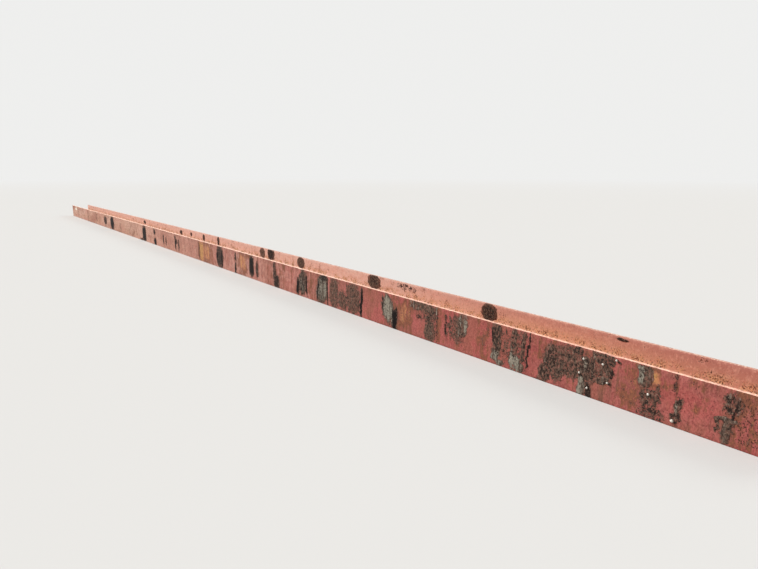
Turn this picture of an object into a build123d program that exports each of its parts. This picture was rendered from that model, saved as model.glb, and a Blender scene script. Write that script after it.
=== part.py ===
from build123d import *
import os

# A rolled wide-flange steel girder, lying on its side with its web level.
# Millimetres. X runs along the girder, Y across it from flange to flange, Z up.
# The origin is the centre of the underside: midway along, midway between the flanges, on the floor.

# The section and the stock length
girder_length = 15240.0
section_depth = 363.0
flange_width = 257.0
flange_thickness = 21.7
web_thickness = 13.0
root_radius = 15.0
toe_radius = 3.0

# The bolt holes through the flange that faces -Y, near the girder's -X end
bolt_hole_diameter = 27.0
bolt_gauge = 140.0
bolt_end_distance = 450.0


def wide_flange_section():
    """The whole rolled section, drawn upright about its own centre: X across the flanges, Y up the web."""
    web_height = section_depth - 2 * flange_thickness
    flange_centre = (section_depth - flange_thickness) / 2
    with BuildSketch() as section:
        Rectangle(web_thickness, web_height + flange_thickness)
        with Locations((0, flange_centre), (0, -flange_centre)):
            Rectangle(flange_width, flange_thickness)
        # The toes are chosen first, at the flanges' full width, and then the four corners at the web
        fillet(section.vertices().filter_by(lambda v: abs(v.X) > flange_width / 4), toe_radius)
        fillet(section.vertices().filter_by(lambda v: abs(v.X) < web_thickness), root_radius)
    return section.sketch


def rolled_girder():
    """The section run along X, with its web level and its flanges standing."""
    # The section's own X (along a flange) points up, and its Y (up the web) points across
    lying = Plane(origin=(-girder_length / 2, 0, flange_width / 2), x_dir=(0, 0, 1), z_dir=(1, 0, 0))
    with BuildPart() as stock:
        with BuildSketch(lying):
            add(wide_flange_section())
        extrude(amount=girder_length)
    return stock.part


def flange_drill(height):
    """A drill's path through the -Y flange alone, twice as long as the flange is thick, at this height."""
    flange_middle = -(section_depth - flange_thickness) / 2
    drill_centre = (-girder_length / 2 + bolt_end_distance, flange_middle, height)
    return Pos(*drill_centre) * Rot(90, 0, 0) * Cylinder(bolt_hole_diameter / 2, 2 * flange_thickness)


def drilled_girder():
    """The girder with its pair of bolt holes, set evenly about the middle of the flange."""
    girder = rolled_girder()
    for side in (-1, 1):
        girder -= flange_drill(flange_width / 2 + side * bolt_gauge / 2)
    return girder


os.makedirs("parts", exist_ok=True)
export_step(drilled_girder(), "parts/girder.step")
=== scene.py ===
import math
from collections import namedtuple

import bmesh
import bpy
import numpy as np
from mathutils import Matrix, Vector, noise


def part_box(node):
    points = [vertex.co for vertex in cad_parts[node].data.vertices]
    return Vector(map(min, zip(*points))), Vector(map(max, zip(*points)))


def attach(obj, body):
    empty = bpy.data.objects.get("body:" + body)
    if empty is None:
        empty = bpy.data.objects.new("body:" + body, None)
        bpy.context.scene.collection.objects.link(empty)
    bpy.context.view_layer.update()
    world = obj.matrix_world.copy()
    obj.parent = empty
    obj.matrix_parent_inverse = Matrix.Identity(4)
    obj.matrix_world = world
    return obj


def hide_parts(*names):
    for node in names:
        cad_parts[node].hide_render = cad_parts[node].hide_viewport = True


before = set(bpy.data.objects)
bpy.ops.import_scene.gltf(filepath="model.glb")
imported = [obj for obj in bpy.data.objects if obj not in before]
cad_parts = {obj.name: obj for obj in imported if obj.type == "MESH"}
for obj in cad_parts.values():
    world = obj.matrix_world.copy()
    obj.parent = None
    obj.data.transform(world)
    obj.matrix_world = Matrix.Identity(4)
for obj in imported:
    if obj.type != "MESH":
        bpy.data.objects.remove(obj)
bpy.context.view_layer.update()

# The girder's outer sizes come from the frame, in metres, and its section repeats the part's source
LOW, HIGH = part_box("girder")
WIDTH = HIGH.z - LOW.z
FLANGE = 0.0217
WEB = 0.013
ROOT = 0.015
TOE = 0.003
HOLE_RADIUS = 0.0135
HOLE_GAUGE = 0.140
HOLE_FROM_END = 0.450
HOLE_SIDES = 32

# Edges that turn by more than this many degrees stay sharp
SKIN_SHARP = 40
STUB_SHARP = 50

NEAR_FACE = LOW.y
FAR_FACE = HIGH.y
NEAR_INNER = LOW.y + FLANGE
FAR_INNER = HIGH.y - FLANGE
MID_HEIGHT = WIDTH / 2

# The skin's columns are close together at the +X end, which the camera stands beside
COLUMN_SPACING = (0.010, 0.027)

# How many rows of faces the skin has on each stretch of the section's upper half
NEAR_FACE_ROWS = 11
NEAR_INNER_ROWS = 6
WEB_ROWS = 8
FAR_INNER_ROWS = 8
FAR_FACE_ROWS = 6
ROOT_ROWS = 3
TOE_ROWS = 2
EDGE_ROWS = 2

# A worn place on a flange: its centre along X and up Z, half its length and height, how far its top
# leans towards +X for each metre up, and how bare, dark, pale and ochre it is, where 1 is fully so and
# more also withstands the noise. A squareness of 2 makes an oval, and a higher one a squarish place.
Patch = namedtuple("Patch", "x z half_x half_z lean bare dark pale ochre squareness", defaults=(3.0,))
PATCH_KINDS = ("bare", "dark", "pale", "ochre")
WEAR_KINDS = (*PATCH_KINDS, "stain")
CRUST_KINDS = ("bare", "dark", "pale")

# The noises that all the steel's materials share
Marks = namedtuple("Marks", "middle blotch streak flake fine speck")


def oval(*values):
    """A worn place that is round where the others are squarish."""
    return Patch(*values, 2.0)


def stub_painted_shadow(x, z):
    """The small black place beside a broken-off fastener, towards +X and a little lower, which is its
    painted shadow.
    """
    return oval(x + 0.012, z - 0.008, 0.009, 0.006, 0.0, 1.1, 1.3, 0.0, 0.0)


NEAR_PATCHES = [
    # The far end: faint streaks and two dark diamonds
    Patch(-6.90, 0.13, 0.08, 0.10, 0.0, 0.4, 0.4, 0.0, 0.3),
    Patch(-5.80, 0.12, 0.08, 0.09, 0.0, 0.4, 0.4, 0.0, 0.5),
    Patch(-4.90, 0.14, 0.08, 0.08, 0.0, 0.4, 0.4, 0.0, 0.2),
    oval(-4.12, 0.14, 0.12, 0.08, 0.0, 0.9, 1.1, 0.0, 0.3),
    oval(-3.56, 0.13, 0.12, 0.11, 0.0, 1.4, 1.7, 0.0, 0.0),
    Patch(-2.90, 0.10, 0.08, 0.09, 0.0, 0.4, 0.4, 0.0, 0.2),
    Patch(-2.20, 0.07, 0.25, 0.06, 0.0, 0.3, 0.2, 0.1, 0.5),
    # A dark streak that spreads along the bottom edge, and the marks after it
    Patch(-1.38, 0.12, 0.09, 0.11, 0.0, 1.2, 1.5, 0.0, 0.0),
    Patch(-1.52, 0.02, 0.12, 0.02, 0.0, 0.7, 0.8, 0.0, 0.0),
    Patch(-0.82, 0.20, 0.04, 0.04, 0.0, 1.0, 1.4, 0.0, 0.0),
    Patch(-0.80, 0.05, 0.05, 0.05, 0.0, 1.3, 1.7, 0.0, 0.0),
    Patch(-0.38, 0.13, 0.03, 0.06, 0.0, 0.9, 1.0, 0.0, 0.0),
    Patch(-0.26, 0.12, 0.03, 0.06, 0.0, 0.8, 0.8, 0.0, 0.0),
    # Two dark bars with a speckled gap
    Patch(0.17, 0.14, 0.024, 0.09, 0.0, 1.3, 1.7, 0.0, 0.0),
    Patch(0.235, 0.15, 0.03, 0.03, 0.0, 0.9, 1.0, 0.2, 0.0),
    Patch(0.31, 0.11, 0.02, 0.08, 0.0, 1.0, 1.3, 0.0, 0.0),
    # The ochre stretch, dark along its far side
    Patch(1.11, 0.13, 0.02, 0.12, 0.0, 0.7, 0.9, 0.0, 0.6),
    Patch(1.19, 0.13, 0.10, 0.14, 0.0, 0.3, 0.1, 0.0, 1.6),
    Patch(1.38, 0.13, 0.14, 0.13, 0.0, 0.2, 0.1, 0.0, 1.2),
    # The tall dark oval
    oval(1.79, 0.13, 0.09, 0.12, 0.0, 1.4, 1.1, 0.1, 0.0),
    oval(1.86, 0.11, 0.02, 0.10, 0.0, 1.3, 1.7, 0.0, 0.0),
    oval(1.72, 0.13, 0.014, 0.09, 0.0, 1.2, 1.6, 0.0, 0.0),
    Patch(2.25, 0.19, 0.02, 0.04, 0.0, 0.9, 1.2, 0.0, 0.0),
    Patch(2.24, 0.06, 0.02, 0.07, 0.0, 1.2, 1.3, 0.0, 0.0),
    Patch(2.44, 0.15, 0.12, 0.12, 0.0, 0.2, 0.2, 0.0, 1.2),
    Patch(2.67, 0.14, 0.05, 0.10, 0.0, 1.2, 1.5, 0.0, 0.0),
    Patch(2.80, 0.12, 0.03, 0.08, 0.0, 0.9, 1.0, 0.2, 0.0),
    # A streak that widens on its way down
    Patch(3.20, 0.16, 0.03, 0.09, 0.0, 1.0, 0.9, 0.1, 0.0),
    Patch(3.24, 0.06, 0.05, 0.06, 0.0, 1.2, 1.3, 0.0, 0.0),
    Patch(3.34, 0.18, 0.05, 0.07, 0.0, 0.2, 0.1, 0.0, 0.6),
    # Grey deposits between black lines
    Patch(3.67, 0.08, 0.022, 0.07, 0.1, 1.2, 1.6, 0.0, 0.0),
    oval(3.76, 0.14, 0.06, 0.105, 0.05, 1.2, 0.9, 0.5, 0.0),
    oval(3.83, 0.13, 0.012, 0.10, 0.0, 1.1, 1.5, 0.0, 0.0),
    Patch(3.93, 0.15, 0.05, 0.10, 0.0, 0.1, 0.0, 0.0, 0.6),
    oval(4.10, 0.13, 0.08, 0.12, 0.15, 1.4, 0.7, 0.7, 0.0),
    oval(4.03, 0.12, 0.012, 0.10, 0.2, 1.2, 1.5, 0.0, 0.0),
    Patch(4.13, 0.23, 0.06, 0.02, 0.0, 1.2, 1.3, 0.1, 0.0),
    Patch(4.19, 0.12, 0.01, 0.12, 0.0, 1.0, 1.3, 0.0, 0.0),
    # The long mottled stretch, which ends at a black slit
    Patch(4.29, 0.13, 0.07, 0.12, 0.0, 0.85, 0.4, 0.1, 0.0),
    Patch(4.42, 0.09, 0.07, 0.08, 0.0, 0.85, 0.4, 0.0, 0.0),
    Patch(4.57, 0.13, 0.09, 0.12, 0.0, 0.9, 0.5, 0.0, 0.0),
    Patch(4.69, 0.12, 0.014, 0.11, 0.1, 1.2, 1.6, 0.0, 0.0),
    # The pale oval, with a black slit down to the bottom edge
    oval(5.03, 0.14, 0.06, 0.09, -0.1, 1.2, 0.5, 0.75, 0.0),
    oval(4.975, 0.16, 0.008, 0.07, -0.1, 1.1, 1.4, 0.0, 0.0),
    Patch(5.13, 0.15, 0.01, 0.03, 0.0, 1.0, 1.3, 0.0, 0.0),
    Patch(5.11, 0.07, 0.028, 0.07, 0.0, 1.2, 1.6, 0.0, 0.0),
    Patch(5.22, 0.14, 0.10, 0.11, 0.0, 0.3, 0.3, 0.0, 1.1),
    # Grey under the top edge, and the column below it
    Patch(5.38, 0.15, 0.03, 0.02, 0.0, 0.6, 1.0, 0.0, 0.0),
    Patch(5.43, 0.23, 0.12, 0.03, 0.0, 1.0, 0.5, 0.3, 0.0),
    Patch(5.49, 0.17, 0.06, 0.05, 0.0, 0.8, 0.7, 0.0, 0.0),
    Patch(5.49, 0.07, 0.05, 0.06, 0.0, 1.1, 0.5, 0.3, 0.0),
    Patch(5.57, 0.13, 0.01, 0.10, 0.0, 0.6, 1.0, 0.0, 0.4),
    Patch(5.60, 0.14, 0.03, 0.11, 0.1, 0.1, 0.1, 0.0, 0.8),
    Patch(5.65, 0.15, 0.01, 0.07, 0.0, 0.8, 1.3, 0.0, 0.0),
    Patch(5.74, 0.14, 0.08, 0.09, 0.0, 0.6, 0.6, 0.1, 0.2),
    Patch(5.79, 0.17, 0.05, 0.07, 0.0, 0.9, 0.4, 0.4, 0.0),
    Patch(5.99, 0.15, 0.05, 0.10, 0.0, 0.3, 0.3, 0.0, 0.75),
    # A grey streak beside a black line, and two bands beyond a red gap, pale at their feet
    Patch(6.06, 0.18, 0.01, 0.05, 0.0, 1.1, 1.4, 0.0, 0.0),
    Patch(6.09, 0.16, 0.03, 0.09, 0.0, 1.4, 0.9, 0.0, 0.0),
    Patch(6.08, 0.06, 0.03, 0.03, 0.3, 1.0, 0.3, 0.8, 0.0),
    Patch(6.12, 0.03, 0.03, 0.02, 0.0, 0.8, 0.2, 0.6, 0.0),
    Patch(6.16, 0.15, 0.04, 0.10, 0.0, 0.5, 0.6, 0.0, 0.1),
    Patch(6.22, 0.16, 0.02, 0.10, 0.1, 0.9, 0.7, 0.2, 0.0),
    Patch(6.23, 0.05, 0.04, 0.05, 0.0, 0.85, 0.3, 0.8, 0.0),
    Patch(6.28, 0.03, 0.02, 0.03, 0.0, 0.9, 0.2, 0.7, 0.0),
    Patch(6.27, 0.14, 0.04, 0.11, 0.1, 0.6, 0.6, 0.1, 0.0),
    Patch(6.29, 0.15, 0.016, 0.10, 0.1, 0.9, 0.8, 0.2, 0.0),
    Patch(6.325, 0.15, 0.006, 0.11, 0.1, 0.9, 1.4, 0.0, 0.0),
    Patch(6.42, 0.19, 0.05, 0.06, 0.3, 0.3, 0.2, 0.0, 0.7),
    # The broadest worn place, with a leaning side
    Patch(6.46, 0.11, 0.04, 0.11, 0.3, 1.1, 0.8, 0.2, 0.0),
    Patch(6.53, 0.13, 0.05, 0.10, 0.2, 0.9, 0.6, 0.2, 0.0),
    Patch(6.61, 0.15, 0.05, 0.08, 0.0, 0.9, 0.6, 0.1, 0.1),
    Patch(6.64, 0.23, 0.03, 0.02, 0.0, 1.0, 0.9, 0.0, 0.0),
    # The grey place under a brown square, with a drip to the bottom edge
    Patch(6.70, 0.15, 0.05, 0.05, 0.0, 1.4, 0.8, 0.2, 0.0),
    Patch(6.70, 0.23, 0.02, 0.03, 0.0, 0.4, 0.0, 0.0, 0.8),
    Patch(6.67, 0.05, 0.02, 0.05, 0.1, 1.3, 0.2, 0.9, 0.0),
    Patch(6.71, 0.04, 0.016, 0.04, 0.0, 1.1, 1.3, 0.1, 0.0),
    # Chips round the fasteners
    Patch(6.79, 0.23, 0.06, 0.03, 0.0, 1.0, 0.8, 0.1, 0.0),
    Patch(6.80, 0.165, 0.035, 0.035, 0.1, 0.9, 0.6, 0.2, 0.0),
    Patch(6.79, 0.11, 0.04, 0.02, 0.0, 0.9, 0.6, 0.4, 0.0),
    Patch(6.84, 0.16, 0.01, 0.03, 0.0, 0.9, 1.2, 0.0, 0.0),
    # A brown streak, a grey place beside an orange one, and the chips below them
    Patch(6.950, 0.14, 0.045, 0.13, 0.0, 0.3, 0.2, 0.0, 0.95),
    Patch(7.01, 0.20, 0.03, 0.05, 0.0, 1.1, 0.6, 0.3, 0.0),
    Patch(7.065, 0.205, 0.036, 0.036, 0.0, 0.2, 0.2, 0.0, 1.35),
    Patch(6.985, 0.205, 0.014, 0.035, 0.0, 1.1, 0.2, 1.0, 0.0),
    Patch(7.07, 0.12, 0.02, 0.06, 0.1, 0.75, 0.7, 0.3, 0.0),
    Patch(7.02, 0.10, 0.03, 0.05, 0.2, 0.72, 0.7, 0.2, 0.1),
    Patch(7.05, 0.03, 0.06, 0.03, 0.0, 0.65, 0.8, 0.1, 0.3),
    Patch(7.15, 0.21, 0.01, 0.05, 0.0, 0.5, 0.9, 0.0, 0.2),
    Patch(7.17, 0.11, 0.02, 0.04, 0.2, 0.85, 0.8, 0.2, 0.0),
    Patch(7.16, 0.05, 0.03, 0.02, 0.0, 0.8, 1.0, 0.1, 0.0),
    Patch(7.22, 0.22, 0.03, 0.03, 0.0, 0.25, 0.4, 0.0, 0.5),
    # The branching mark by the near end, and the brown speckle beside it
    Patch(7.375, 0.21, 0.010, 0.03, 0.2, 1.0, 1.0, 0.2, 0.0),
    Patch(7.39, 0.19, 0.035, 0.05, 0.2, 0.62, 0.8, 0.1, 0.3),
    Patch(7.40, 0.15, 0.006, 0.04, 0.1, 1.2, 1.3, 0.1, 0.0),
    Patch(7.37, 0.11, 0.04, 0.01, 0.0, 1.2, 0.6, 0.5, 0.0),
    Patch(7.34, 0.08, 0.01, 0.03, 0.0, 0.9, 0.8, 0.3, 0.0),
    Patch(7.375, 0.06, 0.014, 0.05, 0.1, 1.2, 0.6, 0.5, 0.0),
    Patch(7.45, 0.12, 0.05, 0.12, 0.0, 0.25, 0.6, 0.0, 0.9),
]

FAR_INNER_PATCHES = [
    oval(-2.58, 0.20, 0.06, 0.03, 0.0, 1.2, 1.2, 0.0, 0.0),
    oval(-0.60, 0.19, 0.05, 0.03, 0.0, 1.1, 1.2, 0.0, 0.1),
    oval(-0.15, 0.20, 0.04, 0.03, 0.0, 1.0, 1.2, 0.0, 0.1),
    oval(0.36, 0.20, 0.04, 0.04, 0.0, 1.2, 1.2, 0.0, 0.0),
    oval(0.90, 0.20, 0.04, 0.05, 0.0, 1.1, 1.2, 0.0, 0.0),
    oval(2.23, 0.20, 0.06, 0.05, 0.0, 1.2, 0.4, 0.3, 0.5),
    oval(2.45, 0.21, 0.07, 0.06, 0.0, 1.5, 1.3, 0.0, 0.0),
    oval(3.13, 0.20, 0.06, 0.047, 0.0, 2.0, 0.7, 0.1, 0.0),
    oval(4.40, 0.205, 0.069, 0.052, 0.0, 2.2, 0.85, 0.0, 0.0),
    oval(4.84, 0.22, 0.14, 0.03, 0.0, 0.5, 1.2, 0.0, 0.0),
    oval(5.72, 0.198, 0.056, 0.050, 0.0, 2.2, 1.0, 0.0, 0.0),
    oval(6.69, 0.24, 0.035, 0.008, 0.0, 1.2, 1.2, 0.0, 0.0),
    oval(6.89, 0.23, 0.04, 0.01, 0.0, 0.0, 0.8, 0.0, 0.0),
    oval(7.17, 0.18, 0.08, 0.03, 0.0, 0.0, 1.0, 0.0, 0.5),
    oval(7.19, 0.23, 0.06, 0.02, 0.0, 0.0, 1.0, 0.0, 0.0),
]

# Broken-off fasteners on the near flange's face, as (x, z, size)
STUBS = [
    (6.66, 0.12, 1.0),
    (6.68, 0.20, 1.0),
    (6.79, 0.20, 1.1),
    (6.82, 0.11, 1.0),
    (6.86, 0.24, 1.0),
    (6.71, 0.05, 1.1),
    (7.03, 0.12, 1.1),
    (7.15, 0.03, 1.4),
]
# Each stub's cast shadow is painted as a small black place beside it
NEAR_PATCHES += [stub_painted_shadow(x, z) for x, z, size in STUBS]

# A stub's size, its profile from root to tip, as shares of its radius and of its reach, how uneven and
# how far aslant it is, and how far apart the stubs read the noise
STUB_RADIUS = 0.0055
STUB_REACH = 0.009
STUB_PROFILE = [(1.5, -0.1), (1.25, 0.12), (0.95, 0.3), (0.9, 0.75), (0.65, 0.95), (0.25, 1.0)]
STUB_SIDES = 12
STUB_UNEVENNESS = 0.3
STUB_LEAN = 0.002
STUB_NOISE_STEP = 3.7
STUB_SEED = 1

# How strongly the worn places' outlines are pushed about on either flange
NEAR_WOBBLE = 1.0
FAR_WOBBLE = 0.35

# The worn places' edges, in shares of their half sizes: how wide they are, and where they are half faded
WEAR_EDGE = 0.75
OCHRE_EDGE = 1.3
EDGE_MIDDLE = 1.125

# The water stains under the worn places: their half width in shares of the place's own, the height over
# which they start, and how far down they reach
STAIN_WIDTH = 1.3
STAIN_START = 0.02
STAIN_LENGTH = 0.25

# The crust left in the worn places: its greatest thickness, its mesh's spacing along X at either end and
# up Z, how far beyond the centres of the outermost places it is laid, in their half lengths, and the
# height that hides it behind the face at the toes
CRUST_THICKNESS = 0.0040
CRUST_SPACING = (0.003, 0.012)
CRUST_ROW = 0.003
CRUST_MARGIN = 2
CRUST_CUT = -0.001

# The nicks in the flanges' edges: how many a metre, how rare they are, and their greatest depth for each
# unit of noise
NICK_RATE = 9
NICK_RARITY = 0.38
NICK_DEPTH = 0.012

# The bright place rubbed round the upper bolt hole: how far it reaches along X and up Z
RUBBED_REACH = (0.085, 0.031)

# The camera stands where the photograph was taken from, and its lens is given on a 36 mm wide sensor
CAMERA_PLACE = Vector((8.28, -2.73, 1.169))
CAMERA_TURN = 52.8
CAMERA_DIP = 11.58
CAMERA_LENS = 27.07
SENSOR_WIDTH = 36.0

# The floor's size, and the distances from the girder's middle between which it fades into the backdrop
FLOOR_RADIUS = 150.0
FLOOR_SIDES = 96
FLOOR_FADE = (14.0, 60.0)
BACKDROP_TONE = (0.86, 0.86, 0.85, 1.0)
FLOOR_TONE = (0.60, 0.59, 0.57, 1.0)

# Each lamp's name, the way its light travels, its strength, and its width in degrees
LAMPS = [
    ("key", (0.72, 0.28, -0.62), 4.4, 2),
    ("back", (-0.2, -0.75, -0.6), 0.6, 30),
]
SKY_TONE = (1.0, 1.0, 1.0, 1.0)
SKY_STRENGTH = 0.40


def srgb(red, green, blue):
    """A colour written as it looks on screen, 0 to 255, as the linear colour that shaders take."""
    linear = []
    for value in (red, green, blue):
        share = value / 255
        linear.append(share / 12.92 if share <= 0.04045 else ((share + 0.055) / 1.055) ** 2.4)
    return (*linear, 1.0)


class Shader:
    """One material's nodes. Each call returns an output socket, which the next calls can take."""

    def __init__(self, name):
        self.material = bpy.data.materials.new(name)
        self.material.use_nodes = True
        self.tree = self.material.node_tree
        self.tree.nodes.clear()
        self.place = self.node("ShaderNodeTexCoord").outputs["Object"]

    def plug(self, socket, value):
        if isinstance(value, bpy.types.NodeSocket):
            self.tree.links.new(value, socket)
        else:
            socket.default_value = value

    def node(self, kind, values=None, **settings):
        """A node with these settings, and these values or links by the socket's name or number."""
        made = self.tree.nodes.new(kind)
        for name, setting in settings.items():
            setattr(made, name, setting)
        for socket, value in (values or {}).items():
            self.plug(made.inputs[socket], value)
        return made

    def math(self, operation, first, second=0.0):
        return self.node("ShaderNodeMath", {0: first, 1: second}, operation=operation).outputs[0]

    def add(self, *terms):
        total = terms[0]
        for term in terms[1:]:
            total = self.math("ADD", total, term)
        return total

    def times(self, *factors):
        total = factors[0]
        for factor in factors[1:]:
            total = self.math("MULTIPLY", total, factor)
        return total

    def ease(self, value, low, high, start=0.0, end=1.0):
        """Runs smoothly from start to end as the value goes from low to high."""
        values = {"Value": value, "From Min": low, "From Max": high, "To Min": start, "To Max": end}
        return self.node("ShaderNodeMapRange", values, interpolation_type="SMOOTHSTEP").outputs["Result"]

    def mix(self, share, first, second):
        values = {0: share, 6: first, 7: second}
        return self.node("ShaderNodeMix", values, data_type="RGBA").outputs[2]

    def coat(self, under, colour, *shares):
        """A colour, written as on screen, laid over what is under it by the product of these shares."""
        return self.mix(self.times(*shares), under, srgb(*colour))

    def about(self, value, strength):
        """A noise from 0 to 1 as a push to either side."""
        return self.times(self.add(value, -0.5), strength)

    def split(self, vector):
        return self.node("ShaderNodeSeparateXYZ", {0: vector}).outputs

    def noise(self, scale, detail=3.0, stretch=(1, 1, 1), shift=0.0, roughness=0.55):
        """Noise with this many features a metre, from 0 to 1, finer along an axis by its stretch."""
        values = {0: self.place, 1: (shift, shift, shift)}
        moved = self.node("ShaderNodeVectorMath", values, operation="ADD").outputs[0]
        values = {0: moved, 1: tuple(scale * share for share in stretch)}
        scaled = self.node("ShaderNodeVectorMath", values, operation="MULTIPLY").outputs[0]
        values = {"Vector": scaled, "Scale": 1.0, "Detail": detail, "Roughness": roughness}
        return self.node("ShaderNodeTexNoise", values).outputs["Fac"]

    def attribute(self, name):
        return self.node("ShaderNodeAttribute", attribute_name=name).outputs["Fac"]

    def bump(self, height):
        """Relief from a height in metres."""
        return self.node("ShaderNodeBump", {"Height": height, "Distance": 1.0}).outputs["Normal"]

    def finish(self, surface):
        output = self.node("ShaderNodeOutputMaterial")
        self.tree.links.new(surface, output.inputs["Surface"])
        return self.material

    def finish_matt(self, colour, roughness, normal, specular):
        """The whole material, as a surface of this colour and relief that hardly shines."""
        values = {"Base Color": colour, "Roughness": roughness, "Normal": normal}
        surface = self.node("ShaderNodeBsdfPrincipled", {**values, "Specular IOR Level": specular})
        return self.finish(surface.outputs["BSDF"])


def stretch_between(start, end, steps):
    """Points from start up to, but not including, end."""
    spread = np.linspace(0, 1, steps, endpoint=False)
    return [tuple(np.add(start, np.subtract(end, start) * share)) for share in spread]


def corner(centre, radius, start, end, steps):
    """Points on an arc, without its last, with angles in degrees from +Y towards +Z."""
    angles = np.radians(np.linspace(start, end, steps, endpoint=False))
    return [(centre[0] + radius * math.cos(a), centre[1] + radius * math.sin(a)) for a in angles]


def section_loop():
    """The section's outline as (y, z) points, evenly split, the upper half and then its mirror image."""
    web_top = MID_HEIGHT + WEB / 2
    root_top = web_top + ROOT
    toe_low = WIDTH - TOE
    upper = stretch_between((NEAR_FACE, MID_HEIGHT), (NEAR_FACE, toe_low), NEAR_FACE_ROWS)
    upper += corner((NEAR_FACE + TOE, toe_low), TOE, 180, 90, TOE_ROWS)
    upper += stretch_between((NEAR_FACE + TOE, WIDTH), (NEAR_INNER - TOE, WIDTH), EDGE_ROWS)
    upper += corner((NEAR_INNER - TOE, toe_low), TOE, 90, 0, TOE_ROWS)
    upper += stretch_between((NEAR_INNER, toe_low), (NEAR_INNER, root_top), NEAR_INNER_ROWS)
    upper += corner((NEAR_INNER + ROOT, root_top), ROOT, 180, 270, ROOT_ROWS)
    upper += stretch_between((NEAR_INNER + ROOT, web_top), (FAR_INNER - ROOT, web_top), WEB_ROWS)
    upper += corner((FAR_INNER - ROOT, root_top), ROOT, 270, 360, ROOT_ROWS)
    upper += stretch_between((FAR_INNER, root_top), (FAR_INNER, toe_low), FAR_INNER_ROWS)
    upper += corner((FAR_INNER + TOE, toe_low), TOE, 180, 90, TOE_ROWS)
    upper += stretch_between((FAR_INNER + TOE, WIDTH), (FAR_FACE - TOE, WIDTH), EDGE_ROWS)
    upper += corner((FAR_FACE - TOE, toe_low), TOE, 90, 0, TOE_ROWS)
    upper += stretch_between((FAR_FACE, toe_low), (FAR_FACE, MID_HEIGHT), FAR_FACE_ROWS)
    lower = [(FAR_FACE, MID_HEIGHT)] + [(y, WIDTH - z) for y, z in reversed(upper[1:])]
    return upper + lower


def growing_places(start, end, first_space, last_space):
    """Places along X from start down to end, with spaces that grow evenly."""
    count = round(2 * (start - end) / (first_space + last_space))
    ends = np.concatenate([[0.0], np.cumsum(np.linspace(first_space, last_space, count))])
    return start - ends * ((start - end) / ends[-1])


def swept_mesh(name, loop, places):
    """The loop swept along X, closed at both ends."""
    vertices = [(x, y, z) for x in places for y, z in loop]
    around = len(loop)
    faces = [tuple(range(around)), tuple(range(len(vertices) - 1, len(vertices) - around - 1, -1))]
    for column in range(len(places) - 1):
        first = column * around
        for row in range(around):
            following = (row + 1) % around
            faces.append((first + row, first + around + row, first + around + following, first + following))
    mesh = bpy.data.meshes.new(name)
    mesh.from_pydata(vertices, [], faces)
    return mesh


def link(obj):
    bpy.context.scene.collection.objects.link(obj)
    return obj


def drill(girder, height):
    """Cuts one bolt hole through the near flange."""
    bpy.ops.mesh.primitive_cylinder_add(
        vertices=HOLE_SIDES,
        radius=HOLE_RADIUS,
        depth=2 * FLANGE,
        location=(LOW.x + HOLE_FROM_END, NEAR_FACE + FLANGE / 2, height),
        rotation=(math.radians(90), 0, 0),
    )
    cutter = bpy.context.object
    cut = girder.modifiers.new("hole", "BOOLEAN")
    cut.operation = "DIFFERENCE"
    cut.solver = "EXACT"
    cut.object = cutter
    graph = bpy.context.evaluated_depsgraph_get()
    drilled = bpy.data.meshes.new_from_object(girder.evaluated_get(graph))
    girder.modifiers.clear()
    girder.data = drilled
    bpy.data.objects.remove(cutter)


def vertex_places(mesh):
    places = np.empty(len(mesh.vertices) * 3)
    mesh.vertices.foreach_get("co", places)
    return places.reshape(-1, 3)


def rough(x, z, per_metre, seed, octaves=2):
    """Noise from about -1 to 1 at these places of a face, with this many features a metre."""
    points = [Vector((a * per_metre, seed, b * per_metre)) for a, b in zip(x, z)]
    return np.array([noise.fractal(point, 1.0, 2.0, octaves) for point in points])


def patch_shape(patch, x, z, softness):
    """1 inside the patch and 0 well outside it, with an edge this soft."""
    along = np.abs(x - patch.x - patch.lean * (z - patch.z)) / patch.half_x
    up = np.abs(z - patch.z) / patch.half_z
    reach = (along ** patch.squareness + up ** patch.squareness) ** (1 / patch.squareness)
    return np.clip((EDGE_MIDDLE + softness / 2 - reach) / softness, 0, 1)


def stain_shape(patch, x, z):
    """1 where water runs down from the patch, fading towards the bottom edge."""
    beside = np.clip(STAIN_WIDTH - np.abs(x - patch.x) / patch.half_x, 0, 1)
    below = patch.z - z
    running = np.clip(below / STAIN_START, 0, 1) * np.clip(1 - below / STAIN_LENGTH, 0, 1)
    return beside * running * patch.bare


def face_wear(patches, x, z, wobble):
    """How bare, dark, pale, ochre and stained each place of a face is.

    The outlines are pushed about by up to about 16 mm along X and up Z, times the wobble.
    """
    along = x + wobble * (0.010 * rough(x, z, 12, 2.0) + 0.006 * rough(x, z, 45, 3.0))
    up = z + wobble * 0.016 * rough(x, z, 14, 9.0)
    wear = {kind: np.zeros(len(x)) for kind in WEAR_KINDS}
    for patch in patches:
        for kind in PATCH_KINDS:
            shape = patch_shape(patch, along, up, OCHRE_EDGE if kind == "ochre" else WEAR_EDGE)
            wear[kind] = np.maximum(wear[kind], shape * getattr(patch, kind))
        wear["stain"] = np.maximum(wear["stain"], stain_shape(patch, along, z))
    return wear


def skin_wear(places):
    """The wear at each vertex of the girder's skin."""
    x, y, z = places.T
    fields = {kind: np.zeros(len(places)) for kind in WEAR_KINDS}
    far_side = (y > 0) & (y < FAR_INNER + TOE)
    sides = [(NEAR_PATCHES, NEAR_WOBBLE, y < NEAR_FACE + TOE), (FAR_INNER_PATCHES, FAR_WOBBLE, far_side)]
    for patches, wobble, on_face in sides:
        face = np.flatnonzero(on_face)
        for kind, values in face_wear(patches, x[face], z[face], wobble).items():
            fields[kind][face] = values
    return fields


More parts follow.
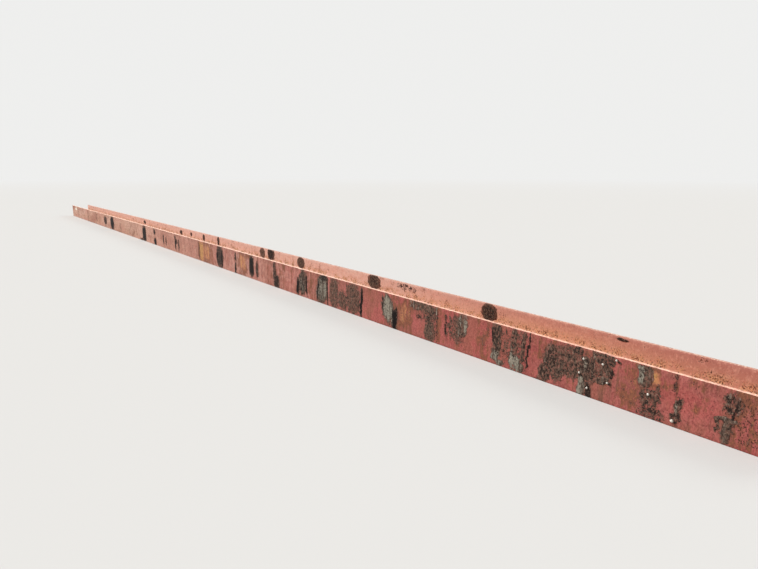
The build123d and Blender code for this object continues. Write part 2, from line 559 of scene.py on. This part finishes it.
def crust_height(wear, x, z):
    """How far the crust stands out of the face; below 0 there is none.

    It starts where a place is bare enough for its level to pass 0, breaks up by noise, and is lumpy.
    """
    broken = 0.60 * rough(x, z, 30, 4.0, 3) + 0.35 * rough(x, z, 95, 5.0, 2)
    streaked = 0.40 * rough(x * 4, z * 0.8, 22, 6.0, 2)
    level = 1.40 * wear["bare"] + broken + streaked - 0.95
    lumps = 0.0009 * rough(x * 1.5, z * 0.8, 60, 8.0, 3) + 0.0010 * rough(x, z, 130, 11.0, 2)
    lumps *= np.clip(level * 3 + 0.5, 0, 1) * (1 - 0.5 * np.clip(wear["pale"], 0, 1))
    height = CRUST_THICKNESS * np.clip(level * 1.3, -0.6, 0.4) + lumps
    from_toe = np.minimum(z - TOE, WIDTH - TOE - z)
    return np.where(from_toe < CRUST_ROW / 2, CRUST_CUT, np.minimum(height, from_toe))


def crust_sheet(body, layers, patches, wobble, face_y, low_z):
    """Adds the crust on one face that looks towards -Y, leaving out the sheet's hidden parts."""
    start = max(patch.x + CRUST_MARGIN * patch.half_x for patch in patches)
    end = min(patch.x - CRUST_MARGIN * patch.half_x for patch in patches)
    columns = growing_places(min(start, HIGH.x - CRUST_ROW), end, *CRUST_SPACING)
    rows = np.arange(low_z + TOE, WIDTH - TOE, CRUST_ROW)
    x, z = (grid.ravel() for grid in np.meshgrid(columns, rows, indexing="ij"))
    wear = face_wear(patches, x, z, wobble)
    height = crust_height(wear, x, z)
    made = {}

    def vertex(index):
        if index not in made:
            made[index] = body.verts.new((x[index], face_y - height[index], z[index]))
            made[index][layers["proud"]] = height[index] / CRUST_THICKNESS
            for kind in CRUST_KINDS:
                made[index][layers[kind]] = wear[kind][index]
        return made[index]

    for column in range(len(columns) - 1):
        for row in range(len(rows) - 1):
            first = column * len(rows) + row
            ring = (first, first + 1, first + len(rows) + 1, first + len(rows))
            if max(height[index] for index in ring) > 0:
                body.faces.new([vertex(index) for index in ring])


def build_crust():
    body = bmesh.new()
    layers = {kind: body.verts.layers.float.new(kind) for kind in ("proud", *CRUST_KINDS)}
    crust_sheet(body, layers, NEAR_PATCHES, NEAR_WOBBLE, NEAR_FACE, 0.0)
    crust_sheet(body, layers, FAR_INNER_PATCHES, FAR_WOBBLE, FAR_INNER, MID_HEIGHT + WEB / 2 + ROOT)
    mesh = bpy.data.meshes.new("crust")
    body.to_mesh(mesh)
    body.free()
    mesh.shade_smooth()
    mesh.materials.append(crust_material())
    crust = link(bpy.data.objects.new("crust", mesh))
    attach(crust, "root")


def dent_toes(mesh):
    """Small nicks along the flanges' edges, all inward."""
    places = vertex_places(mesh)
    moved = places.copy()
    toe_band = 2 * TOE
    for index, (x, y, z) in enumerate(places):
        on_end = min(x - LOW.x, HIGH.x - x) < COLUMN_SPACING[0] / 2
        if on_end:
            continue
        from_edge = min(z, WIDTH - z)
        if from_edge < toe_band and abs(y) > FAR_INNER - TOE:
            # Each of the four edges reads the noise at a place of its own
            place = Vector((x * NICK_RATE, math.copysign(5, y), math.copysign(3, z - MID_HEIGHT)))
            nick = max(0.0, noise.noise(place) - NICK_RARITY)
            depth = nick * NICK_DEPTH * (1 - from_edge / toe_band)
            moved[index, 2] += math.copysign(depth, MID_HEIGHT - z)
    mesh.vertices.foreach_set("co", moved.ravel())
    mesh.update()


def store_fields(mesh, fields):
    for name, values in fields.items():
        attribute = mesh.attributes.new(name, "FLOAT", "POINT")
        attribute.data.foreach_set("value", values.astype(np.float32))


def surface_marks(s):
    """The noises that the girder's skin and its crust share, from slow to fine."""
    return Marks(
        middle=s.noise(13.0, 4.0, shift=3.0),
        blotch=s.noise(34.0, shift=5.0),
        streak=s.noise(8.0, 5.0, stretch=(5.0, 5.0, 0.8), shift=7.0, roughness=0.6),
        flake=s.noise(58.0, 4.0, stretch=(1.1, 1.1, 0.85), shift=51.0, roughness=0.6),
        fine=s.noise(95.0, 4.0, stretch=(1.3, 1.3, 0.7), shift=11.0, roughness=0.65),
        speck=s.noise(150.0, stretch=(1.2, 1.2, 0.8), shift=17.0),
    )


def primer_fading_and_sheen(s, marks, spot):
    """Red primer, paler towards the far end as partly faded paint and partly painted sheen, from slow
    fading to fine mottle.

    The streaks and the tan veil are weak far off, and the drifts and bands are weak near the +X end.
    """
    slow = s.noise(1.3)
    bands = s.noise(2.2, stretch=(0.45, 1.0, 2.2), shift=41.0)
    drift = s.noise(0.9, stretch=(1.0, 1.0, 3.0), shift=61.0)
    tan = s.noise(4.5, 5.0, stretch=(1.0, 1.0, 0.6), shift=31.0, roughness=0.65)
    away = s.ease(spot["X"], 5.0, LOW.x, 0.15, 1.0)
    close = s.ease(spot["X"], -2.0, 4.0, 0.3, 1.0)
    veil = s.times(s.ease(spot["Z"], 0.19, WIDTH - TOE), s.ease(marks.streak, 0.42, 0.56), close)
    # The primer itself, paler with distance: partly bleached paint, partly painted sheen of the grazing
    # view
    paint = s.mix(s.ease(slow, 0.35, 0.65), srgb(182, 91, 87), srgb(162, 83, 77))
    paint = s.coat(paint, (228, 182, 162), s.ease(spot["X"], 5.5, 2.5, 0.0, 0.62))
    paint = s.coat(paint, (224, 192, 160), s.ease(spot["X"], 2.5, -3.0, 0.0, 0.50))
    # Drifts and bands
    paint = s.coat(paint, (230, 196, 178), s.ease(drift, 0.50, 0.60), away, 0.40)
    paint = s.coat(paint, (180, 128, 100), s.ease(drift, 0.49, 0.41), away, 0.40)
    paint = s.coat(paint, (146, 88, 72), s.ease(bands, 0.51, 0.60), away, 0.50)
    paint = s.coat(paint, (216, 158, 140), s.ease(bands, 0.48, 0.40), away, 0.55)
    # Blotches, streaks and the veil under the upper edge
    paint = s.coat(paint, (188, 102, 94), s.ease(marks.middle, 0.47, 0.60), close, 0.50)
    paint = s.coat(paint, (136, 70, 64), s.ease(marks.middle, 0.45, 0.36), close, 0.35)
    paint = s.coat(paint, (150, 98, 78), s.ease(tan, 0.50, 0.60), close, 0.50)
    paint = s.coat(paint, (112, 72, 60), s.ease(marks.streak, 0.53, 0.66), close, 0.45)
    paint = s.coat(paint, (122, 78, 62), veil, 0.55)
    # Fine mottle
    paint = s.coat(paint, (188, 108, 96), s.ease(marks.flake, 0.52, 0.62), 0.40)
    paint = s.coat(paint, (132, 68, 62), s.ease(marks.flake, 0.48, 0.38), 0.40)
    paint = s.coat(paint, (198, 126, 112), s.ease(marks.fine, 0.53, 0.61), 0.35)
    paint = s.coat(paint, (116, 60, 54), s.ease(marks.fine, 0.47, 0.40), 0.35)
    return s.coat(paint, (70, 40, 36), s.ease(marks.speck, 0.62, 0.66), 0.65)


def rusted(s, marks, paint):
    """Brown water stains under the worn places, brown and ochre rust, and dark flecks."""
    ochre = s.attribute("ochre")
    dark = s.attribute("dark")
    stain = s.add(s.attribute("stain"), s.about(marks.streak, 1.6))
    paint = s.coat(paint, (118, 86, 70), s.ease(stain, 0.3, 0.9), 0.5)
    uneven = s.add(s.about(marks.streak, 3.0), s.about(marks.middle, 3.0), s.about(marks.flake, 2.4))
    share = s.ease(s.add(s.times(ochre, 0.95), uneven), 0.22, 1.05)
    orange = s.ease(s.add(ochre, s.about(marks.streak, 1.2)), 0.92, 1.22)
    golden = s.ease(s.add(ochre, s.about(marks.streak, 1.5)), 1.10, 1.50)
    rust = s.mix(orange, srgb(122, 80, 58), srgb(196, 130, 94))
    rust = s.coat(rust, (204, 152, 90), golden)
    rust = s.coat(rust, (204, 122, 76), s.ease(marks.fine, 0.54, 0.60), 0.5)
    rust = s.coat(rust, (112, 74, 54), s.ease(marks.blotch, 0.47, 0.39), 0.55)
    paint = s.mix(s.times(share, 0.8), paint, rust)
    flecks = s.add(s.times(marks.speck, 0.7), s.times(marks.fine, 0.3), s.times(dark, 0.10))
    return s.coat(paint, (62, 38, 32), s.ease(flecks, 0.60, 0.63), s.ease(dark, 0.1, 0.5), 0.85)


def trough_dust_and_bounce_light(s, marks, paint, spot, trough):
    """Chalky powder in the upper trough, lighter overall and lower down as painted bounce light from the
    web, and paler far off as painted sheen, with gold and crumbs of rust low down along its roots.
    """
    # Lighter low down than high up: painted bounce light from the web
    high_up = s.ease(spot["Z"], MID_HEIGHT + 0.03, WIDTH - TOE)
    trough_colour = s.mix(high_up, srgb(220, 166, 136), srgb(200, 140, 124))
    # Darker near the +X end and paler far off: painted sheen of the grazing view
    trough_colour = s.coat(trough_colour, (180, 112, 100), s.ease(spot["X"], 6.3, 7.4), 0.5)
    trough_colour = s.coat(trough_colour, (232, 194, 178), s.ease(spot["X"], 6.5, 4.0))
    trough_colour = s.coat(trough_colour, (226, 170, 150), s.ease(marks.blotch, 0.45, 0.65), 0.5)
    trough_colour = s.coat(trough_colour, (198, 134, 116), s.ease(marks.middle, 0.5, 0.7), 0.4)
    trough_colour = s.coat(trough_colour, (178, 114, 98), s.ease(marks.fine, 0.53, 0.62), 0.5)
    trough_colour = s.coat(trough_colour, (232, 178, 156), s.ease(marks.flake, 0.54, 0.62), 0.4)
    low_down = s.ease(spot["Z"], MID_HEIGHT + 0.085, MID_HEIGHT + 0.020)
    golden = s.ease(s.add(s.times(marks.middle, 0.5), s.times(marks.blotch, 0.5)), 0.44, 0.56)
    gold = s.mix(s.ease(marks.fine, 0.42, 0.6), srgb(232, 188, 142), srgb(208, 150, 98))
    trough_colour = s.mix(s.times(low_down, golden, 0.65), trough_colour, gold)
    grit = s.add(s.times(marks.speck, 0.6), s.times(marks.blotch, 0.25), s.times(marks.middle, 0.25))
    trough_colour = s.coat(trough_colour, (84, 46, 34), low_down, s.ease(grit, 0.575, 0.62), 0.95)
    sparse = s.ease(s.add(s.times(marks.speck, 0.5), s.times(marks.middle, 0.6)), 0.655, 0.69)
    trough_colour = s.coat(trough_colour, (96, 58, 48), sparse, 0.85)
    # The trough's lighter colour is partly a chalky deposit and partly painted bounce light
    return s.mix(s.times(trough, 0.9), paint, trough_colour)


def edges_chalked_and_highlit(s, marks, paint, spot, edge_top):
    """The flanges' upward edges, worn pale and lit as a painted highlight, the near one more than the far
    one.
    """
    on_far = s.ease(spot["Y"], NEAR_INNER, FAR_INNER)
    on_near = s.ease(spot["Y"], FAR_INNER, NEAR_INNER)
    # The upward edges' pale colour is partly chalky wear and partly painted highlight
    edge_colour = s.mix(on_far, srgb(236, 184, 162), srgb(180, 132, 116))
    # The near edge is paler far off: painted sheen of the grazing view
    edge_colour = s.coat(edge_colour, (244, 206, 186), s.ease(spot["X"], 6.5, 3.0), on_near)
    edge_colour = s.coat(edge_colour, (196, 134, 114), s.ease(marks.blotch, 0.50, 0.60), 0.6)
    edge_colour = s.coat(edge_colour, (250, 222, 200), s.ease(marks.fine, 0.52, 0.60), 0.7)
    return s.mix(s.times(edge_top, 0.95), paint, edge_colour)


def worn_steel(s, marks):
    """Scale where the paint is gone: brown and grey, with paint flakes, pale deposits, black hollows and
    slits that are partly painted shadow, and painted glints.
    """
    bare = s.attribute("bare")
    dark = s.attribute("dark")
    pale = s.attribute("pale")
    steel = s.mix(s.ease(marks.fine, 0.38, 0.60), srgb(68, 52, 45), srgb(114, 92, 78))
    steel = s.coat(steel, (88, 60, 49), s.ease(marks.streak, 0.47, 0.58), 0.6)
    hold = s.add(marks.flake, s.times(bare, -0.09), s.about(marks.blotch, 0.3))
    steel = s.coat(steel, (138, 86, 74), s.ease(hold, 0.430, 0.475), s.ease(pale, 0.6, 0.2, 0.25, 1.0), 0.7)
    light = s.ease(s.add(s.times(pale, 0.22), marks.fine, marks.streak), 0.98, 1.34)
    deposit = s.mix(light, srgb(80, 73, 66), srgb(164, 156, 140))
    pale_share = s.ease(s.add(pale, s.about(marks.streak, 2.6), s.about(marks.flake, 1.2)), 0.30, 0.95)
    steel = s.mix(s.times(pale_share, 0.9), steel, deposit)
    # Black in the hollows and slits: partly dark scale, partly painted shadow
    gloom = s.add(s.times(dark, 1.1), s.about(marks.speck, 3.2), s.about(marks.flake, -2.6))
    steel = s.coat(steel, (36, 27, 25), s.ease(gloom, 0.78, 1.08), 0.85)
    # Painted glints: small bright specks standing in for highlights
    painted_glint = s.add(marks.speck, s.times(marks.flake, 0.5))
    steel = s.coat(steel, (158, 134, 114), s.ease(painted_glint, 0.87, 0.91), 0.6)
    # The deepest black, in the darkest places, is partly painted shadow
    return s.coat(steel, (16, 11, 11), s.ease(s.add(dark, s.about(marks.fine, 1.0)), 1.25, 1.55), 0.9)


def rubbed(s, marks, colour, spot):
    """The near flange's face, rubbed bright round the upper bolt hole."""
    along = s.times(s.add(spot["X"], -LOW.x - HOLE_FROM_END), 1 / RUBBED_REACH[0])
    up = s.times(s.add(spot["Z"], -MID_HEIGHT - HOLE_GAUGE / 2), 1 / RUBBED_REACH[1])
    ragged = s.add(s.about(marks.flake, 3.0), s.about(marks.streak, 1.6))
    reach = s.add(s.times(along, along), s.times(up, up), ragged)
    share = s.times(s.ease(reach, 1.25, 0.65), s.ease(spot["Y"], NEAR_FACE + TOE, NEAR_FACE))
    bright = s.mix(s.ease(marks.fine, 0.50, 0.62), srgb(255, 248, 230), srgb(222, 196, 170))
    return s.mix(share, colour, bright)


def primer_material():
    """Faded red primer, lost in the worn places, with rust, a powdery deposit and pale edges that are
    partly painted sheen, bounce light and highlight, and two sawn ends.
    """
    s = Shader("red_primer")
    marks = surface_marks(s)
    spot = s.split(s.place)
    facing = s.split(s.node("ShaderNodeNewGeometry").outputs["Normal"])
    near_of_far = s.ease(spot["Y"], FAR_FACE - TOE, FAR_INNER + TOE)
    inside = s.times(s.ease(spot["Y"], NEAR_FACE + TOE, NEAR_INNER - TOE), near_of_far)
    trough = s.times(inside, s.ease(spot["Z"], MID_HEIGHT, MID_HEIGHT + WEB / 2))
    edge_top = s.times(s.ease(facing["Z"], 0.25, 0.9), s.ease(spot["Z"], WIDTH - 2 * TOE, WIDTH - TOE / 2))
    colour = rusted(s, marks, primer_fading_and_sheen(s, marks, spot))
    colour = trough_dust_and_bounce_light(s, marks, colour, spot, trough)
    colour = edges_chalked_and_highlit(s, marks, colour, spot, edge_top)

    # The paint left in a worn place is browner, and gives way to scale along a ragged edge
    bare = s.attribute("bare")
    colour = s.coat(colour, (134, 86, 70), s.ease(bare, 0.3, 0.9), 0.4)
    laid_bare = s.times(s.math("MINIMUM", bare, 1.0), 1.2)
    ragged = s.add(s.about(marks.fine, 1.8), s.about(marks.blotch, 2.4), s.about(marks.streak, 1.2))
    bare_share = s.ease(s.add(laid_bare, ragged), 0.66, 0.76)
    colour = s.mix(bare_share, colour, worn_steel(s, marks))
    colour = rubbed(s, marks, colour, spot)
    sawn = s.mix(s.ease(marks.fine, 0.4, 0.65), srgb(120, 76, 54), srgb(84, 60, 48))
    colour = s.mix(s.ease(s.math("ABSOLUTE", facing["X"]), 0.9, 0.98), colour, sawn)

    # The relief is in metres
    grain = s.noise(420.0, 2.0, shift=13.0)
    relief = s.add(
        s.times(bare_share, -0.0010),
        s.times(marks.fine, s.add(0.0014, s.times(bare_share, 0.0040))),
        s.times(marks.speck, bare_share, 0.0020),
        s.times(grain, 0.00015),
    )
    roughness = s.add(0.66, s.times(marks.fine, 0.2), s.times(bare_share, -0.06))
    return s.finish_matt(colour, roughness, s.bump(relief), 0.12)


def crust_material():
    """The worn places' scale where it stands proud of the face."""
    s = Shader("crust")
    marks = surface_marks(s)
    # Darker where the crust is thin, along its edges and in its dips: painted shade
    low_crust_shade = s.ease(s.attribute("proud"), 0.22, -0.05)
    colour = s.coat(worn_steel(s, marks), (40, 30, 27), low_crust_shade, 0.5)
    relief = s.add(s.times(marks.fine, 0.0030), s.times(marks.flake, 0.0030))
    return s.finish_matt(colour, 0.75, s.bump(relief), 0.1)


def stub_material():
    """Bright metal, its near-white tip partly a painted highlight, with a rusty root."""
    s = Shader("stub_metal")
    spot = s.split(s.place)
    tip = s.ease(spot["Y"], NEAR_FACE - 0.2 * STUB_REACH, NEAR_FACE - 0.6 * STUB_REACH)
    spotty = s.ease(s.noise(500.0, 2.0), 0.5, 0.62)
    # The near-white tip colour is partly painted highlight
    bright = s.mix(spotty, srgb(236, 230, 218), srgb(170, 158, 142))
    values = {"Base Color": s.mix(tip, srgb(98, 66, 50), bright), "Roughness": 0.5}
    return s.finish(s.node("ShaderNodeBsdfPrincipled", values).outputs["BSDF"])


def build_stubs():
    """Short tapered nubs with domed, uneven tips, standing out of the near flange's face."""
    # Noise vectors take their seed from the clock unless one is set
    noise.seed_set(STUB_SEED)
    body = bmesh.new()
    for number, (x, z, size) in enumerate(STUBS):
        lean = noise.noise_vector(Vector((number * STUB_NOISE_STEP, 1.0, 2.0)))
        rings = []
        for share, out in STUB_PROFILE:
            ring = []
            for step in range(STUB_SIDES):
                turn = 2 * math.pi * step / STUB_SIDES
                unevenness = STUB_UNEVENNESS * noise.noise(Vector((turn, number, out * 2)))
                radius = STUB_RADIUS * size * share * (1 + unevenness)
                side = x + radius * math.cos(turn) + STUB_LEAN * out * lean.x
                height = z + radius * math.sin(turn) + STUB_LEAN * out * lean.z
                ring.append(body.verts.new((side, NEAR_FACE - STUB_REACH * out, height)))
            rings.append(ring)
        for lower, upper in zip(rings, rings[1:]):
            for step in range(STUB_SIDES):
                following = (step + 1) % STUB_SIDES
                body.faces.new((lower[step], lower[following], upper[following], upper[step]))
        body.faces.new(rings[-1])
        body.faces.new(reversed(rings[0]))
    bmesh.ops.recalc_face_normals(body, faces=body.faces)
    mesh = bpy.data.meshes.new("fastener_stubs")
    body.to_mesh(mesh)
    body.free()
    mesh.shade_smooth()
    mesh.set_sharp_from_angle(angle=math.radians(STUB_SHARP))
    mesh.materials.append(stub_material())
    stubs = link(bpy.data.objects.new("fastener_stubs", mesh))
    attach(stubs, "root")


def build_girder():
    mesh = swept_mesh("girder_skin", section_loop(), growing_places(HIGH.x, LOW.x, *COLUMN_SPACING))
    girder = link(bpy.data.objects.new("girder_skin", mesh))
    for side in (-1, 1):
        drill(girder, MID_HEIGHT + side * HOLE_GAUGE / 2)
    body = bmesh.new()
    body.from_mesh(girder.data)
    bmesh.ops.recalc_face_normals(body, faces=body.faces)
    body.to_mesh(girder.data)
    body.free()
    fields = skin_wear(vertex_places(girder.data))
    dent_toes(girder.data)
    store_fields(girder.data, fields)
    girder.data.shade_smooth()
    girder.data.set_sharp_from_angle(angle=math.radians(SKIN_SHARP))
    girder.data.materials.append(primer_material())
    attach(girder, "root")
    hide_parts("girder")


def build_floor():
    bpy.ops.mesh.primitive_circle_add(vertices=FLOOR_SIDES, radius=FLOOR_RADIUS, fill_type="NGON")
    floor = bpy.context.object
    floor.name = "floor"
    s = Shader("pale_floor")
    away = s.node("ShaderNodeVectorMath", {0: s.place}, operation="LENGTH").outputs["Value"]
    near = s.node("ShaderNodeBsdfDiffuse", {"Color": FLOOR_TONE}).outputs["BSDF"]
    far = s.node("ShaderNodeEmission", {"Color": BACKDROP_TONE}).outputs["Emission"]
    share = s.ease(away, *FLOOR_FADE)
    blend = s.node("ShaderNodeMixShader", {0: share, 1: near, 2: far})
    floor.data.materials.append(s.finish(blend.outputs["Shader"]))


def light_scene():
    """A key light from high at the far end, a weak soft one from behind, and an even sky.

    The camera, and what is mirrored or seen through glass, meet the pale backdrop instead of the sky.
    """
    for name, direction, strength, angle in LAMPS:
        lamp = bpy.data.lights.new(name, "SUN")
        lamp.energy = strength
        lamp.angle = math.radians(angle)
        holder = link(bpy.data.objects.new(name, lamp))
        holder.rotation_euler = Vector(direction).to_track_quat("-Z", "Y").to_euler()
    world = bpy.data.worlds.new("studio")
    bpy.context.scene.world = world
    world.use_nodes = True
    tree = world.node_tree
    tree.nodes.clear()
    sky = tree.nodes.new("ShaderNodeBackground")
    sky.inputs["Color"].default_value = SKY_TONE
    sky.inputs["Strength"].default_value = SKY_STRENGTH
    backdrop = tree.nodes.new("ShaderNodeBackground")
    backdrop.inputs["Color"].default_value = BACKDROP_TONE
    rays = tree.nodes.new("ShaderNodeLightPath")
    mirrored = tree.nodes.new("ShaderNodeMath")
    mirrored.operation = "MAXIMUM"
    shown = tree.nodes.new("ShaderNodeMath")
    shown.operation = "MAXIMUM"
    choice = tree.nodes.new("ShaderNodeMixShader")
    output = tree.nodes.new("ShaderNodeOutputWorld")
    tree.links.new(rays.outputs["Is Glossy Ray"], mirrored.inputs[0])
    tree.links.new(rays.outputs["Is Transmission Ray"], mirrored.inputs[1])
    tree.links.new(rays.outputs["Is Camera Ray"], shown.inputs[0])
    tree.links.new(mirrored.outputs[0], shown.inputs[1])
    tree.links.new(shown.outputs[0], choice.inputs[0])
    tree.links.new(sky.outputs[0], choice.inputs[1])
    tree.links.new(backdrop.outputs[0], choice.inputs[2])
    tree.links.new(choice.outputs[0], output.inputs["Surface"])


def place_camera():
    data = bpy.data.cameras.new("camera")
    data.sensor_fit = "HORIZONTAL"
    data.sensor_width = SENSOR_WIDTH
    data.lens = CAMERA_LENS
    data.clip_end = 2 * FLOOR_RADIUS
    camera = link(bpy.data.objects.new("camera", data))
    camera.location = CAMERA_PLACE
    camera.rotation_euler = (math.radians(90 - CAMERA_DIP), 0, math.radians(CAMERA_TURN))
    bpy.context.scene.camera = camera


bpy.context.scene.view_settings.view_transform = "Standard"
place_camera()
light_scene()
build_floor()
build_girder()
build_crust()
build_stubs()
